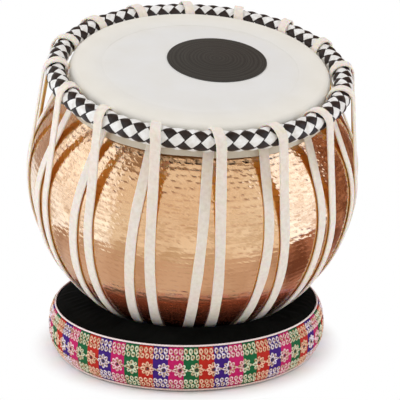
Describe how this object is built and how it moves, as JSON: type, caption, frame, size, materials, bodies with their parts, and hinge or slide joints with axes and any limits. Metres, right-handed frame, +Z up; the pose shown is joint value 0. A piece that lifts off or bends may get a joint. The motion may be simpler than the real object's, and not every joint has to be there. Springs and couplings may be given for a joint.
{
  "type": "tabla bayan drum with ring cushion",
  "caption": "Bass drum of a tabla pair: a round hammered copper bowl with a laced skin head and a black spot, leaning on a padded velvet ring cushion.",
  "frame": {"origin": "on the floor under the middle of the whole object's box", "axes": "+Z up, the drum leans towards -Y, the axis of the lean is X"},
  "size_m": [0.2976, 0.3054, 0.2993],
  "materials": {
    "hammered_copper": "hammered and polished copper",
    "goatskin": "smooth off-white skin",
    "syahi_paste": "matt black paste with fine rings",
    "rope_core": "raw rope",
    "white_thong": "satin rawhide",
    "black_thong": "satin dyed leather",
    "strap_leather": "cream strap leather",
    "rawhide_ring": "twisted rawhide",
    "black_velvet": "black velvet",
    "woven_ribbon": "many-coloured woven ribbon",
    "pink_piping": "pale pink cord",
    "gold_piping": "pale gold cord"
  },
  "bodies": {
    "cushion": {"cushion_ring": "black_velvet", "trim_band": "woven_ribbon", "top_piping": "pink_piping", "bottom_piping": "gold_piping"},
    "drum": {"copper_bowl": "hammered_copper", "bharti_under_ring": "goatskin", "head_skin": "goatskin", "kinar_upper_ring": "goatskin", "syahi_spot": "syahi_paste", "gajra_core_hoop": "rope_core", "gajra_white_thong_1": "white_thong", "gajra_white_thong_2": "white_thong", "gajra_white_thong_3": "white_thong", "gajra_white_thong_4": "white_thong", "gajra_black_thong_1": "black_thong", "gajra_black_thong_2": "black_thong", "gajra_black_thong_3": "black_thong", "gajra_black_thong_4": "black_thong", "tasma_lace": "strap_leather", "kundal_ring": "rawhide_ring"}
  },
  "joints": [
    {"name": "drum_tilt", "type": "hinge", "parent": "cushion", "child": "drum", "pos_m": [0, 0.004, 0.1634], "axis": [1, 0, 0], "range_deg": [-14.8, 15]}
  ]
}
